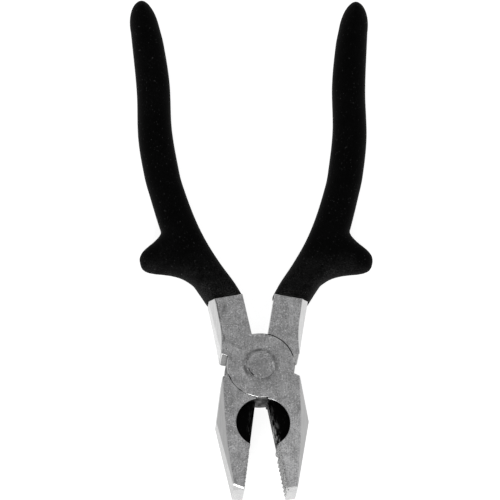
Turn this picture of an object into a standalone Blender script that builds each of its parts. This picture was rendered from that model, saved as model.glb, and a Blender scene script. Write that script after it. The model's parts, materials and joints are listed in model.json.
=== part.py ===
"""Combination pliers: two equal forgings crossed in a lap joint, one rivet and two moulded grips.

Every length is in millimetres until a mesh is made, and angles are in degrees. The rivet's axis is Z
through the origin, the rear faces lie at z = 0, the jaws point to -Y and the handles to +Y. Each shape
is drawn for the front half with the handles shut, when its jaw is at +X and its handle at -X. The rear
half is the same forging turned over about Y. Each handle stands open by its OPEN_DEG, and each jaw is
set in a little from its handle's line, so that the jaws meet before the grips do.
"""

import math

import bmesh
import bpy
from mathutils import Matrix

MM = 0.001
GAP = 0.3  # running clearance between two pieces
OVER = 2.0  # how far a cutter runs on past the face it cuts
ARC_STEPS = 28
FRONT_OPEN_DEG = 10.2  # each half's turn away from shut handles
REAR_OPEN_DEG = 10.5
FRONT_JAW_DEG = -0.7  # how far each jaw is set towards the other
REAR_JAW_DEG = -1.9

# Lap joint
THICKNESS = 11.6
MIDDLE = THICKNESS / 2
DISC_R = 12.5
RECESS_R = 12.9
RIVET_R = 4.0
RIVET_HEAD_R = 5.6
COUNTERSINK = 1.8
HEAD_PROUD = 0.15

# Jaw
CLOSING_X = GAP / 2
CORNER_RISE = 0.7  # the small slant between a side and its shoulder's corner
JAW_SIDE_X = 13.5
JAW_BEND_Y = -24.0
JAW_SHOULDER_DEG = -24.3
JAW_CORNER = (13.2, -6.4)
TIP_Y = -49.8
TIP_WIDTH = 3.9
NOSE_CHAMFER = 1.2
JAW_FACET = ((-4.0, 14.2), (-8.0, 13.2), (-20.0, 11.0), (-32.0, 8.5), (-40.0, 6.3), (-53.0, 2.6))
JAW_FACET_SLOPE = 0.72

# Side cutter and gripping teeth
SCOOP_CENTRE = (-3.1, -22.3)
SCOOP_R = 9.6
SCOOP_SLOPE = 0.14
EDGE_LAND = 2.4  # half of the cutting edge's thickness
NOTCH_Y = -32.0
NOTCH_LENGTH = 2.7
NOTCH_DEPTH = 0.6
TOOTH_PITCH = 1.62
TOOTH_DEPTH = 0.55
TOOTH_LAND = 0.2
TOOTH_COUNT = 9

# Shank and the tang inside the grip
SHANK_OUTER_X = -13.45
SHANK_INNER_X = -0.7
SHANK_SHOULDER_DEG = 152.4
SHANK_CORNER = (-13.35, 6.8)
SHANK_FACET = ((5.0, -13.9), (10.0, -12.7), (18.4, -11.2), (29.4, -10.6))
SHANK_FACET_SLOPE = 1.0
SHANK_THIN_FROM_Y = 11.0
SHANK_THINNING = 0.6
TANG_Y = 29.0
TANG_END_Y = 134.0
TANG_INSET = 2.4
TANG_HALF_THICKNESS = 3.0

# Grip: its outer and inner edges, as x along y
MOUTH_Y = TANG_Y + GAP
GRIP_OUTER = (
    (29.3, -13.9),
    (35.3, -16.3),
    (42.0, -19.2),
    (50.0, -22.3),
    (57.0, -24.2),
    (63.0, -25.0),
    (75.0, -25.9),
    (83.0, -26.3),
    (98.5, -25.5),
    (117.3, -22.2),
    (141.0, -19.5),
)
GRIP_INNER = (
    (29.3, -0.15),
    (35.3, -2.1),
    (43.0, -5.3),
    (53.4, -8.9),
    (63.5, -11.2),
    (76.8, -12.9),
    (82.0, -13.1),
    (99.3, -12.3),
    (118.1, -9.3),
    (134.0, -8.3),
    (141.0, -8.5),
)
# Finger guard: a lug that leaves the outer edge, as x along y
GUARD = (
    (38.0, -17.6),
    (40.6, -21.0),
    (42.6, -25.6),
    (44.4, -30.6),
    (46.8, -34.0),
    (49.4, -35.0),
    (51.7, -34.2),
    (53.9, -32.1),
    (56.8, -27.8),
    (59.6, -25.3),
    (63.0, -25.0),
)
GUARD_THINNING = 1.8
GUARD_REACH = 10.0
DOME_Y = 141.0
DOME_HEIGHT = 11.6
GRIP_HALF_THICKNESS = 5.8
MOUTH_ROUNDING = 3.2
SHAFT_ROUNDING = 6.4
SHAFT_ROUNDING_Y = 48.0
ROUNDNESS = 2.2
RING_HALF = 9  # points along each face of a grip's ring
OPEN_END = 8  # how far the rounding's outline runs on past the mouth, which stays unrounded
DOME_LEAN = 0.5  # the dome's tip lies this much nearer the inner side

STEEL = (0.42, 0.42, 0.43)
RIVET_STEEL = (0.38, 0.38, 0.39)
PVC = (0.012, 0.012, 0.013)


# ---------------------------------------------------------------- scene helpers


def clear_scene():
    for obj in list(bpy.data.objects):
        bpy.data.objects.remove(obj, do_unlink=True)


def new_collection(name, is_hidden):
    collection = bpy.data.collections.new(name)
    bpy.context.scene.collection.children.link(collection)
    collection.hide_render = is_hidden
    return collection


def new_material(name, colour, metallic, roughness):
    material = bpy.data.materials.new(name)
    material.use_nodes = True
    shader = material.node_tree.nodes["Principled BSDF"]
    shader.inputs["Base Color"].default_value = (*colour, 1)
    shader.inputs["Metallic"].default_value = metallic
    shader.inputs["Roughness"].default_value = roughness
    return material


def add_object(name, mesh, collection):
    """Links a mesh made in millimetres as an object in metres."""
    mesh.transform(Matrix.Scale(MM, 4))
    obj = bpy.data.objects.new(name, mesh)
    collection.objects.link(obj)
    if collection.hide_render:
        obj.hide_render = True
        obj.display_type = "WIRE"
    return obj


def mesh_from_bmesh(name, bm):
    bm.normal_update()
    bmesh.ops.recalc_face_normals(bm, faces=bm.faces)
    mesh = bpy.data.meshes.new(name)
    bm.to_mesh(mesh)
    bm.free()
    return mesh


def boolean(obj, cutter, operation="DIFFERENCE"):
    modifier = obj.modifiers.new(cutter.name, "BOOLEAN")
    modifier.operation = operation
    modifier.solver = "EXACT"
    modifier.object = cutter


def swing(obj, degrees):
    """Turns a piece about the rivet's axis, where its origin already is."""
    obj.rotation_euler = (0, 0, math.radians(degrees))


def smooth_shading(mesh, degrees=30):
    mesh.shade_smooth()
    mesh.set_sharp_from_angle(angle=math.radians(degrees))


# ---------------------------------------------------------------- shape helpers


def polar(radius, degrees):
    angle = math.radians(degrees)
    return radius * math.cos(angle), radius * math.sin(angle)


def turned_point(point, degrees):
    angle = math.radians(degrees)
    x, y = point
    return x * math.cos(angle) - y * math.sin(angle), x * math.sin(angle) + y * math.cos(angle)


def arc(radius, start, end, steps):
    return [polar(radius, start + (end - start) * k / steps) for k in range(steps + 1)]


def smooth_step(value):
    value = min(1.0, max(0.0, value))
    return value * value * (3 - 2 * value)


def along(points, y):
    """The smooth curve through (y, x) points, read at y."""
    last = len(points) - 1
    k = 0
    while k < last - 1 and y > points[k + 1][0]:
        k += 1
    y0, x0 = points[k]
    y1, x1 = points[k + 1]
    before = points[max(k - 1, 0)]
    after = points[min(k + 2, last)]
    slope0 = (x1 - before[1]) / (y1 - before[0])
    slope1 = (after[1] - x0) / (after[0] - y0)
    span = y1 - y0
    t = (y - y0) / span
    value = x0 * (1 + 2 * t) * (1 - t) ** 2 + x1 * t * t * (3 - 2 * t)
    return value + span * (slope0 * t * (1 - t) ** 2 - slope1 * t * t * (1 - t))


def prism(name, outline, low, high, collection, axis="Z"):
    """A flat outline pushed along an axis: (x, y) along Z, or (y, z) along X."""
    curve = bpy.data.curves.new(name, "CURVE")
    curve.dimensions = "2D"
    curve.fill_mode = "BOTH"
    curve.extrude = (high - low) / 2
    spline = curve.splines.new("POLY")
    spline.points.add(len(outline) - 1)
    for point, (u, v) in zip(spline.points, outline):
        point.co = (u, v, 0, 1)
    spline.use_cyclic_u = True
    drawn = bpy.data.objects.new(name, curve)
    collection.objects.link(drawn)
    graph = bpy.context.evaluated_depsgraph_get()
    mesh = bpy.data.meshes.new_from_object(drawn.evaluated_get(graph))
    bpy.data.objects.remove(drawn, do_unlink=True)
    bm = bmesh.new()
    bm.from_mesh(mesh)
    bmesh.ops.remove_doubles(bm, verts=bm.verts, dist=1e-4)
    bmesh.ops.translate(bm, verts=bm.verts, vec=(0, 0, (low + high) / 2))
    if axis == "X":
        turn = Matrix(((0, 0, 1), (1, 0, 0), (0, 1, 0))).to_4x4()
        bmesh.ops.transform(bm, matrix=turn, verts=bm.verts)
    bpy.data.meshes.remove(mesh)
    return add_object(name, mesh_from_bmesh(name, bm), collection)


def cone(name, centre, low, high, radius_low, radius_high, segments, collection):
    bm = bmesh.new()
    place = Matrix.Translation((*centre, (low + high) / 2))
    bmesh.ops.create_cone(
        bm,
        cap_ends=True,
        segments=segments,
        radius1=radius_low,
        radius2=radius_high,
        depth=high - low,
        matrix=place,
    )
    return add_object(name, mesh_from_bmesh(name, bm), collection)


def loft(name, rings, collection):
    """A closed skin through rings of equally many points."""
    bm = bmesh.new()
    loops = [[bm.verts.new(point) for point in ring] for ring in rings]
    for lower, upper in zip(loops, loops[1:]):
        for k in range(len(lower)):
            after = (k + 1) % len(lower)
            bm.faces.new((lower[k], lower[after], upper[after], upper[k]))
    bm.faces.new(loops[0])
    bm.faces.new(loops[-1])
    return add_object(name, mesh_from_bmesh(name, bm), collection)


def flipped(points):
    """The same (y, z) outline on the rear face."""
    return [(y, THICKNESS - z) for y, z in points]


# ---------------------------------------------------------------- grip and tang edges


def body_edges(y, inset=0.0):
    """The grip's outer and inner x at y without its guard, moved in by inset."""
    return along(GRIP_OUTER, y) + inset, along(GRIP_INNER, y) - inset


def grip_edges(y):
    """The grip's outer and inner x at y, with its guard and its domed end."""
    outer, inner = body_edges(min(y, DOME_Y))
    if GUARD[0][0] < y < GUARD[-1][0]:
        outer = min(outer, along(GUARD, y))
    if y > DOME_Y:
        narrowing = math.sqrt(max(0.0, 1 - ((y - DOME_Y) / DOME_HEIGHT) ** 2))
        centre = (outer + inner) / 2 + DOME_LEAN * (1 - narrowing)
        half = (inner - outer) / 2 * narrowing
        outer, inner = centre - half, centre + half
    return outer, inner


def grip_rows():
    """The heights of the grip's rings: close together at the guard and at the domed end."""
    rows = [MOUTH_Y, 33.0, 36.8]
    rows += [37.8 + 1.45 * k for k in range(20)]
    rows += [DOME_Y + 8.0 * k for k in range(-9, 1)]
    rows += [DOME_Y + DOME_HEIGHT * math.sin(math.radians(a)) for a in (20, 40, 58, 74, 85)]
    return rows


def edge_distance(x, y, edge):
    """The distance from a point to the grip's outline, which is open at the mouth."""
    best = 1e9
    for (x0, y0), (x1, y1) in zip(edge, edge[1:]):
        dx, dy = x1 - x0, y1 - y0
        t = ((x - x0) * dx + (y - y0) * dy) / (dx * dx + dy * dy)
        t = min(1.0, max(0.0, t))
        best = min(best, math.hypot(x - x0 - t * dx, y - y0 - t * dy))
    return best


def grip_half_thickness(x, y, edge):
    """Half of the grip's thickness: full in the middle and rounded off towards its outline."""
    blend = smooth_step((y - MOUTH_Y) / (SHAFT_ROUNDING_Y - MOUTH_Y))
    rounding = MOUTH_ROUNDING + (SHAFT_ROUNDING - MOUTH_ROUNDING) * blend
    depth = min(1.0, edge_distance(x, y, edge) / rounding)
    beyond = (body_edges(min(y, DOME_Y))[0] - x) / GUARD_REACH
    full = GRIP_HALF_THICKNESS - GUARD_THINNING * smooth_step(beyond)
    return full * (1 - (1 - depth) ** ROUNDNESS) ** (1 / ROUNDNESS)


def grip_rings():
    rows = grip_rows()
    top = (sum(grip_edges(DOME_Y)) / 2 + DOME_LEAN, DOME_Y + DOME_HEIGHT)
    fine = [MOUTH_Y - OPEN_END + k for k in range(int(rows[-1] - MOUTH_Y) + OPEN_END)]
    outer_side = [(grip_edges(max(y, MOUTH_Y))[0], y) for y in fine]
    inner_side = [(grip_edges(max(y, MOUTH_Y))[1], y) for y in reversed(fine)]
    edge = [*outer_side, top, *inner_side]
    rings = []
    for y in rows:
        outer, inner = grip_edges(y)
        ring = []
        for k in range(2 * RING_HALF):
            turn = math.pi * k / RING_HALF
            x = (outer + inner) / 2 - (inner - outer) / 2 * math.cos(turn)
            side = 1 if k < RING_HALF else -1
            at_edge = k % RING_HALF == 0
            rise = 0.0 if at_edge else side * grip_half_thickness(x, y, edge)
            ring.append((x, y, MIDDLE + rise))
        rings.append(ring)
    return rings


# ---------------------------------------------------------------- forging


def tang_side(inset, end_y, steps=22):
    """The tang's outer and inner sides, from its root to its end."""
    rows = [TANG_Y + (end_y - TANG_Y) * k / steps for k in range(steps + 1)]
    outer = [(body_edges(max(y, MOUTH_Y), inset)[0], y) for y in rows]
    inner = [(body_edges(max(y, MOUTH_Y), inset)[1], y) for y in rows]
    return outer, inner


def forging_outline(jaw_deg):
    """The whole half seen from the front, counter-clockwise from the tip."""
    tang_outer, tang_inner = tang_side(TANG_INSET, TANG_END_Y)
    shank_arc_end = math.degrees(math.acos(SHANK_INNER_X / DISC_R))
    throat_deg = 360 - math.degrees(math.acos(CLOSING_X / DISC_R)) + jaw_deg
    jaw = [
        (CLOSING_X, TIP_Y),
        (TIP_WIDTH, TIP_Y),
        (JAW_SIDE_X, JAW_BEND_Y),
        (JAW_SIDE_X, JAW_CORNER[1] - CORNER_RISE),
        JAW_CORNER,
    ]
    outline = [turned_point(point, jaw_deg) for point in jaw]
    outline += arc(DISC_R, JAW_SHOULDER_DEG + jaw_deg, shank_arc_end, ARC_STEPS)
    outline += [(SHANK_INNER_X, TANG_Y), *tang_inner, *reversed(tang_outer)]
    outline += [(SHANK_OUTER_X, TANG_Y), (SHANK_OUTER_X, SHANK_CORNER[1] + CORNER_RISE)]
    outline.append(SHANK_CORNER)
    outline += arc(DISC_R, SHANK_SHOULDER_DEG, throat_deg, ARC_STEPS)
    return outline


def recess_cutter(cutters):
    """Room for the other half's disc: everything behind this half's own plate."""
    return cone(
        "cut_recess", (0, 0), -OVER, MIDDLE + GAP / 2, RECESS_R, RECESS_R, 72, cutters
    )


def rivet_hole_cutters(cutters):
    """The bore and its two countersinks. Each cone runs on past its face, at the same slope."""
    bore = RIVET_R + GAP
    wide = RIVET_HEAD_R + GAP + (RIVET_HEAD_R - RIVET_R) / COUNTERSINK * OVER
    floor = THICKNESS - COUNTERSINK
    past = THICKNESS + OVER
    return [
        cone("cut_rivet_bore", (0, 0), -OVER, past, bore, bore, 48, cutters),
        cone("cut_sink_front", (0, 0), floor, past, bore, wide, 48, cutters),
        cone("cut_sink_rear", (0, 0), -OVER, COUNTERSINK, wide, bore, 48, cutters),
    ]


def facet_cutter(name, stations, slope, outward, is_rear, cutters):
    """A wedge that planes off one long outer edge. A station is (y, x where the facet starts)."""
    reach = 8.0
    rings = []
    for y, x in sorted(stations):
        start = (x - outward * OVER / slope, y, THICKNESS + OVER)
        end = (x + outward * reach, y, THICKNESS - reach * slope)
        corner = (x + outward * reach, y, THICKNESS + OVER)
        ring = [start, end, corner]
        if is_rear:
            ring = [(px, py, THICKNESS - pz) for px, py, pz in ring]
        rings.append(ring)
    return loft(name, rings, cutters)


def scoop_cutter(name, is_rear, cutters):
    """The round pocket beside the cutting edge: its floor rises from the edge to the back wall."""
    bm = bmesh.new()
    low, high = MIDDLE - OVER, THICKNESS + OVER
    bmesh.ops.create_cone(
        bm,
        cap_ends=True,
        segments=64,
        radius1=SCOOP_R,
        radius2=SCOOP_R,
        depth=high - low,
        matrix=Matrix.Translation((*SCOOP_CENTRE, (low + high) / 2)),
    )
    cut = bmesh.ops.bisect_plane(
        bm,
        geom=[*bm.verts, *bm.edges, *bm.faces],
        plane_co=(CLOSING_X, 0, MIDDLE + EDGE_LAND),
        plane_no=(-SCOOP_SLOPE, 0, 1),
        clear_inner=True,
    )
    rim = [item for item in cut["geom_cut"] if isinstance(item, bmesh.types.BMEdge)]
    bmesh.ops.holes_fill(bm, edges=rim)
    if is_rear:
        for vertex in bm.verts:
            vertex.co.z = THICKNESS - vertex.co.z
    return add_object(name, mesh_from_bmesh(name, bm), cutters)


def teeth_cutter(cutters):
    """A comb of V grooves across the closing face, with a longer notch next to the cutter."""
    outside = CLOSING_X - OVER
    crest = CLOSING_X - 0.05
    floor = CLOSING_X + NOTCH_DEPTH
    y = NOTCH_Y - NOTCH_LENGTH
    outline = [(outside, NOTCH_Y), (crest, NOTCH_Y), (floor, NOTCH_Y - NOTCH_DEPTH)]
    outline += [(floor, y + NOTCH_DEPTH), (crest, y)]
    y -= TOOTH_LAND
    for _ in range(TOOTH_COUNT):
        outline.append((crest, y))
        outline.append((CLOSING_X + TOOTH_DEPTH, y - (TOOTH_PITCH - TOOTH_LAND) / 2))
        outline.append((crest, y - TOOTH_PITCH + TOOTH_LAND))
        y -= TOOTH_PITCH
    outline.append((outside, y + TOOTH_LAND))
    return prism("cut_teeth", outline, -OVER, THICKNESS + OVER, cutters)


def nose_outline():
    """The chamfer on the front edge of the nose, as (y, z)."""
    over = 0.4
    start = (TIP_Y + NOSE_CHAMFER + over, THICKNESS + over)
    end = (TIP_Y - over, THICKNESS - NOSE_CHAMFER - over)
    return [start, end, (TIP_Y - over, THICKNESS + over)]


def thinning_outline():
    """What is taken off the front of the shank, which thins gently, and of the tang."""
    top = THICKNESS + OVER
    tang_top = MIDDLE + TANG_HALF_THICKNESS
    far = TANG_END_Y + OVER
    return [
        (SHANK_THIN_FROM_Y, THICKNESS + 0.02),
        (TANG_Y, THICKNESS - SHANK_THINNING),
        (TANG_Y, tang_top),
        (far, tang_top),
        (far, top),
        (SHANK_THIN_FROM_Y, top),
    ]


def jaw_cutters(side, is_rear, cutters):
    turn = flipped if is_rear else list
    return [
        facet_cutter(f"cut_jaw_{side}", JAW_FACET, JAW_FACET_SLOPE, 1, is_rear, cutters),
        scoop_cutter(f"cut_scoop_{side}", is_rear, cutters),
        prism(f"cut_nose_{side}", turn(nose_outline()), -OVER, JAW_SIDE_X, cutters, "X"),
    ]


def shank_cutters(side, is_rear, cutters):
    turn = flipped if is_rear else list
    widest = min(x for _, x in GRIP_OUTER) - OVER
    return [
        facet_cutter(f"cut_shank_{side}", SHANK_FACET, SHANK_FACET_SLOPE, -1, is_rear, cutters),
        prism(f"cut_thin_{side}", turn(thinning_outline()), widest, OVER, cutters, "X"),
    ]


def make_forging(name, jaw_deg, parts, cutters):
    """A front half, shut, its jaw set in by jaw_deg from the line of its handle."""
    blank = prism(name, forging_outline(jaw_deg), 0, THICKNESS, parts)
    on_jaw = [teeth_cutter(cutters)]
    fixed = [recess_cutter(cutters), *rivet_hole_cutters(cutters)]
    for side, is_rear in (("front", False), ("rear", True)):
        on_jaw += jaw_cutters(side, is_rear, cutters)
        fixed += shank_cutters(side, is_rear, cutters)
    for cutter in on_jaw:
        swing(cutter, jaw_deg)
    for cutter in fixed + on_jaw:
        boolean(blank, cutter)
    graph = bpy.context.evaluated_depsgraph_get()
    mesh = bpy.data.meshes.new_from_object(blank.evaluated_get(graph))
    blank.modifiers.clear()
    blank.data = mesh
    smooth_shading(mesh)
    return blank


# ---------------------------------------------------------------- rivet and grips


def make_rivet(parts):
    """A countersunk rivet, flush behind and a little proud in front, turned about Z."""
    edge = 0.2
    top = THICKNESS + HEAD_PROUD
    profile = [
        (0, top),
        (RIVET_HEAD_R - 2 * edge, top),
        (RIVET_HEAD_R, THICKNESS - edge),
        (RIVET_R, THICKNESS - COUNTERSINK),
        (RIVET_R, COUNTERSINK),
        (RIVET_HEAD_R, edge),
        (RIVET_HEAD_R - edge, 0),
        (0, 0),
    ]
    bm = bmesh.new()
    points = [bm.verts.new((r, 0, z)) for r, z in profile]
    for start, end in zip(points, points[1:]):
        bm.edges.new((start, end))
    mesh = bpy.data.meshes.new("pivot_rivet")
    bm.to_mesh(mesh)
    bm.free()
    rivet = add_object("pivot_rivet", mesh, parts)
    screw = rivet.modifiers.new("turned", "SCREW")
    screw.steps = 48
    screw.render_steps = 48
    screw.use_merge_vertices = True
    screw.merge_threshold = 1e-6
    return rivet


def cavity_cutter(cutters):
    """The room for the tang inside a grip, closed at the handle's end."""
    outer, inner = tang_side(TANG_INSET - GAP, TANG_END_Y + GAP)
    lead_in = MOUTH_Y - 3
    outline = [(outer[0][0], lead_in), *outer, *reversed(inner), (inner[0][0], lead_in)]
    half = TANG_HALF_THICKNESS + GAP
    return prism("cut_cavity", outline, MIDDLE - half, MIDDLE + half, cutters)


def make_grip(name, parts, cutters):
    """A front half's grip, shut: a rounded sleeve with a finger guard on its outer edge."""
    grip = loft(name, grip_rings(), parts)
    boolean(grip, cavity_cutter(cutters))
    graph = bpy.context.evaluated_depsgraph_get()
    mesh = bpy.data.meshes.new_from_object(grip.evaluated_get(graph))
    grip.modifiers.clear()
    grip.data = mesh
    smooth_shading(mesh, 40)
    return grip


def turn_over(obj):
    """Turns a front piece's mesh half round about the pliers' long axis."""
    middle = Matrix.Translation((0, 0, MIDDLE * MM))
    obj.data.transform(middle @ Matrix.Rotation(math.pi, 4, "Y") @ middle.inverted())


def main():
    clear_scene()
    parts = new_collection("combination_pliers", False)
    cutters = new_collection("cutters", True)
    steel = new_material("satin_steel", STEEL, 1.0, 0.38)
    rivet_steel = new_material("rivet_steel", RIVET_STEEL, 1.0, 0.42)
    pvc = new_material("black_pvc", PVC, 0.0, 0.6)

    front = make_forging("front_forging", FRONT_JAW_DEG, parts, cutters)
    rear = make_forging("rear_forging", REAR_JAW_DEG, parts, cutters)
    left = make_grip("left_grip", parts, cutters)
    right = make_grip("right_grip", parts, cutters)
    rivet = make_rivet(parts)

    for obj in (front, left):
        swing(obj, FRONT_OPEN_DEG)
    for obj in (rear, right):
        turn_over(obj)
        swing(obj, -REAR_OPEN_DEG)
    for obj, material in (
        (front, steel),
        (rear, steel),
        (rivet, rivet_steel),
        (left, pvc),
        (right, pvc),
    ):
        obj.data.materials.clear()
        obj.data.materials.append(material)


main()
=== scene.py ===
"""Combination pliers lying open on a pale floor: ground and lightly worn steel, matte black PVC grips.

Shapes are drawn in millimetres for the front half with the handles shut, its jaw at +X and its
handle at -X, and are then turned open. The rear half is the same forging turned over about Y.
"""

import json
import math
from types import SimpleNamespace

import bmesh
import bpy
import numpy as np
from mathutils import Matrix, Vector


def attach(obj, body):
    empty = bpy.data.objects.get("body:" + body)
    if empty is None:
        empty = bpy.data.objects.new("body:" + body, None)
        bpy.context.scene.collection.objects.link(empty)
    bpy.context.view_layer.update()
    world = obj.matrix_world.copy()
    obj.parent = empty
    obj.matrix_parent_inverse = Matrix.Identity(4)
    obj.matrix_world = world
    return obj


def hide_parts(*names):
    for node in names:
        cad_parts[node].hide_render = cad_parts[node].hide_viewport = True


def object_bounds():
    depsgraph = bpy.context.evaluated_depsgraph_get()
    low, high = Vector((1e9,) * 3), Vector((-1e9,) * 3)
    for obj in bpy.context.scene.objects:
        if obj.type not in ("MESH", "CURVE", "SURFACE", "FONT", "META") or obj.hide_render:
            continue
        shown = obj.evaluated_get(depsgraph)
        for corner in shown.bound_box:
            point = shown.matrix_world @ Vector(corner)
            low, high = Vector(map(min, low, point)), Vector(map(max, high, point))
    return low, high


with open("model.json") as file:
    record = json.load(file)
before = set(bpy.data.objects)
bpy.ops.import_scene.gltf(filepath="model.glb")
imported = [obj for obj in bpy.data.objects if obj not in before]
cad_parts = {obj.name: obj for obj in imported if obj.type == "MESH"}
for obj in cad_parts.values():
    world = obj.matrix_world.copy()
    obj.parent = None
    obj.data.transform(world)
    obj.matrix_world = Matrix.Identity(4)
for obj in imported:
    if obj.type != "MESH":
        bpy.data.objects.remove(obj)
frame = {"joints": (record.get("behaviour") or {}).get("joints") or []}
CAD_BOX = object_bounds()
PIVOT = Vector(frame["joints"][0]["pos_m"])

MM = 0.001
FRONT_OPEN_DEG = 10.2
REAR_OPEN_DEG = 10.5
FRONT_JAW_DEG = -0.7
REAR_JAW_DEG = -1.9

# Cutters, and how finely round shapes are drawn
CUTTER_OVER = 2.0  # how far a cutter runs on past what it cuts
ARC_STEPS = 60
RIVET_STEPS = 96
RECESS_STEPS = 144

# Lap joint
THICKNESS = 11.6
MIDDLE = THICKNESS / 2
LAP_GAP = 0.1
DISC_R = 12.6
RECESS_R = 12.73
RIVET_R = 4.0
RIVET_HEAD_R = 5.6
COUNTERSINK = 1.8
HEAD_GAP = 0.03
CREASE_R = 4.75  # where the peening stopped on the rivet's head
DISH_R = 6.9
DISH_DEPTH = 0.2

# Jaw
CLOSING_X = 0.15
JAW_SIDE_X = 13.45
JAW_BEND_Y = -24.0
JAW_SHOULDER_DEG = -24.3
JAW_CORNER = (13.2, -6.4)
JAW_CORNER_CUT = 0.7  # the jaw's side turns in to its corner over this length
TIP_Y = -49.75
TIP_WIDTH = 3.85
NOSE_CHAMFER = 1.25
NOSE_FLAT = 0.58
NOSE_STEEPNESS = 3.2
UNDER_CHAMFER = 0.4  # the plain chamfer on the nose's other face
FRONT_NOSE_DEG = -3.0  # each nose chamfer's slant, taking more off the outer side
REAR_NOSE_DEG = 14.0
NOSE_SPAN = (-3, 10)  # where the nose's cutters start and end in X
# Each ground bevel's edge on the face, as x along y: the jaw's here, the shank's below
JAW_FACET = ((-4.0, 14.0), (-8.0, 13.0), (-20.0, 11.0), (-32.0, 8.5), (-40.0, 6.3), (-53.0, 2.6))
JAW_FACET_SLOPE = 0.72

# Side cutter and gripping teeth
SCOOP_CENTRE = (-3.1, -22.3)
SCOOP_R = 9.5
SCOOP_RIM = 0.12
SCOOP_SLOPE = 0.14
EDGE_LAND = 2.4
NOTCH_Y = -32.0
NOTCH_LENGTH = 2.7
NOTCH_DEPTH = 0.6
TOOTH_PITCH = 1.62
TOOTH_DEPTH = 0.6
TOOTH_LAND = 0.14
TOOTH_COUNT = 9

# Shank and the tang inside the grip
SHANK_OUTER_X = -13.4
SHANK_INNER_X = -0.75
SHANK_SHOULDER_DEG = 152.4
SHANK_CORNER = (-13.3, 6.8)
SHANK_CORNER_CUT = 0.5  # and so does the shank's
SHANK_FACET = ((5.0, -13.9), (10.0, -12.7), (14.0, -11.8), (18.4, -11.2), (29.4, -10.6))
SHANK_FACET_SLOPE = 1.0
SHANK_THIN_FROM_Y = 11.0
SHANK_THINNING = 0.6
SHANK_SPAN = (-45, 3)  # where the cutters that thin it start and end in X
TANG_Y = 29.0
TANG_END_Y = 134.0
TANG_INSET = 2.4
TANG_HALF_THICKNESS = 3.0

# Painted highlights (pale) and darker streaks on the front face: (centre, turn in degrees, half
# lengths)
FRONT_HIGHLIGHTS = (((6.5, -11.0), 60, (4.0, 2.2)), ((7.5, -36.0), 75, (6.0, 1.6)))
FRONT_DARK = (((-7.2, 8.8), -42, (5.6, 0.9)), ((-9.0, 24.5), 80, (3.5, 1.6)))
REAR_HIGHLIGHTS = (((-8.6, 20.5), 80, (4.5, 1.6)), ((5.5, -9.5), 20, (3.2, 1.8)))
REAR_DARK = (((9.0, -33.0), 100, (4.0, 0.8)),)

# Edges of the forgings
SOFT_EDGE = 0.16
SOFT_SEGMENTS = 3
SOFT_TURN_DEG = 18  # edges that turn by less, or are shorter than the next value, stay sharp
SHORTEST_SOFT = 2.1 * SOFT_EDGE
DISC_RIM = 0.26
MERGE_LENGTH = 0.004
FLAT_DEG = 0.6

# Edges that turn by more than this are shaded hard
FORGING_SHARP_DEG = 32
RIVET_SHARP_DEG = 35
GRIP_SHARP_DEG = 50

# Grip: its outer and inner edges, as x along y
MOUTH_Y = 29.08
GRIP_OUTER = (
    (29.3, -13.9),
    (35.3, -16.3),
    (42.0, -19.2),
    (50.0, -22.3),
    (57.0, -24.2),
    (63.0, -25.0),
    (75.0, -25.9),
    (83.0, -26.3),
    (98.5, -25.5),
    (117.3, -22.2),
    (141.0, -19.5),
)
GRIP_INNER = (
    (29.3, -0.15),
    (35.3, -2.1),
    (43.0, -5.3),
    (53.4, -8.9),
    (63.5, -11.2),
    (76.8, -12.9),
    (82.0, -13.1),
    (99.3, -12.3),
    (118.1, -9.3),
    (134.0, -8.3),
    (141.0, -8.5),
)
# Finger guard: a lug that leaves the outer edge, as x along y
GUARD = (
    (38.0, -17.6),
    (41.1, -21.0),
    (43.2, -25.6),
    (44.5, -30.6),
    (46.4, -34.1),
    (49.4, -35.0),
    (52.0, -34.5),
    (54.2, -32.4),
    (56.9, -27.8),
    (59.6, -25.0),
    (63.0, -25.0),
)
SKIN = 0.08  # how far the moulding stays inside its nominal edges
GUARD_THINNING = 1.8
GUARD_REACH = 10.0
GUARD_ROUNDING = 4.7
GUARD_BLEND_IN = 2  # the guard's thinning starts this far inside the outer edge
DOME_Y = 141.0
DOME_HEIGHT = 11.6
DOME_LEAN = 0.5  # how far the end of the handle leans inwards
DOME_RINGS_DEG = (8, 16, 24, 32, 40, 48, 55, 62, 68, 74, 79, 83, 86.5)
GRIP_HALF_THICKNESS = 5.78
MOUTH_ROUNDING = 3.2
SHAFT_ROUNDING = 6.4
SHAFT_ROUNDING_Y = 48.0
ROUNDNESS = 2.2
RING_STEP = 0.8
RING_HALF = 22
LIP = 0.35

# Steel's regions. A face is a wall when its normal's Z is under WALL_FACING, up or down
WALL_FACING = 0.5
SHOULDER_R = 14.7  # walls nearer to the rivet than this are the halves' shoulders
CLOSING_DEPTH_X = 0.85  # the cutting edge, the notch and the teeth lie below this x
CUTTER_TOP_Y = -13.2
EDGE_RUB_X = (0.1, 2.6)  # the rubbing beside the cutting edge fades out between these
EDGE_RUB_Y = (-18.0, -27.0)  # and its strength changes between these
TEETH_SHADE_X = (0.6, 1.3)  # the painted shade beside the teeth fades out between these
TIP_TONE_Y = (-10.0, -32.0)  # the ground faces change tone along the jaw
FACET_TONE_Y = (-6.0, 5.0)  # and the bevels from the jaw to the shank
# the middle of the painted shade's ring round the rivet's head
SHADE_RING_R = DISH_R - 0.9
SHANK_SCUFF_X = -11.35
SHANK_SCUFF_FROM_Y = 8.0
DARKEST_CREASE_SIDE = (-4.5, -2.5)  # the side of the rivet's crease where the painted shade is darkest
FORGING_TONES = (0.36, 0.73)
RIVET_TONES = (0.31, 0.6)
RIVET_BRUSH_DEG = 35
FRONT_TIP_TONE = 1.34
REAR_TIP_TONE = 1.12
DUST_Y = (28.0, 50.0)  # dust on the grips fades out between these

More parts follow.
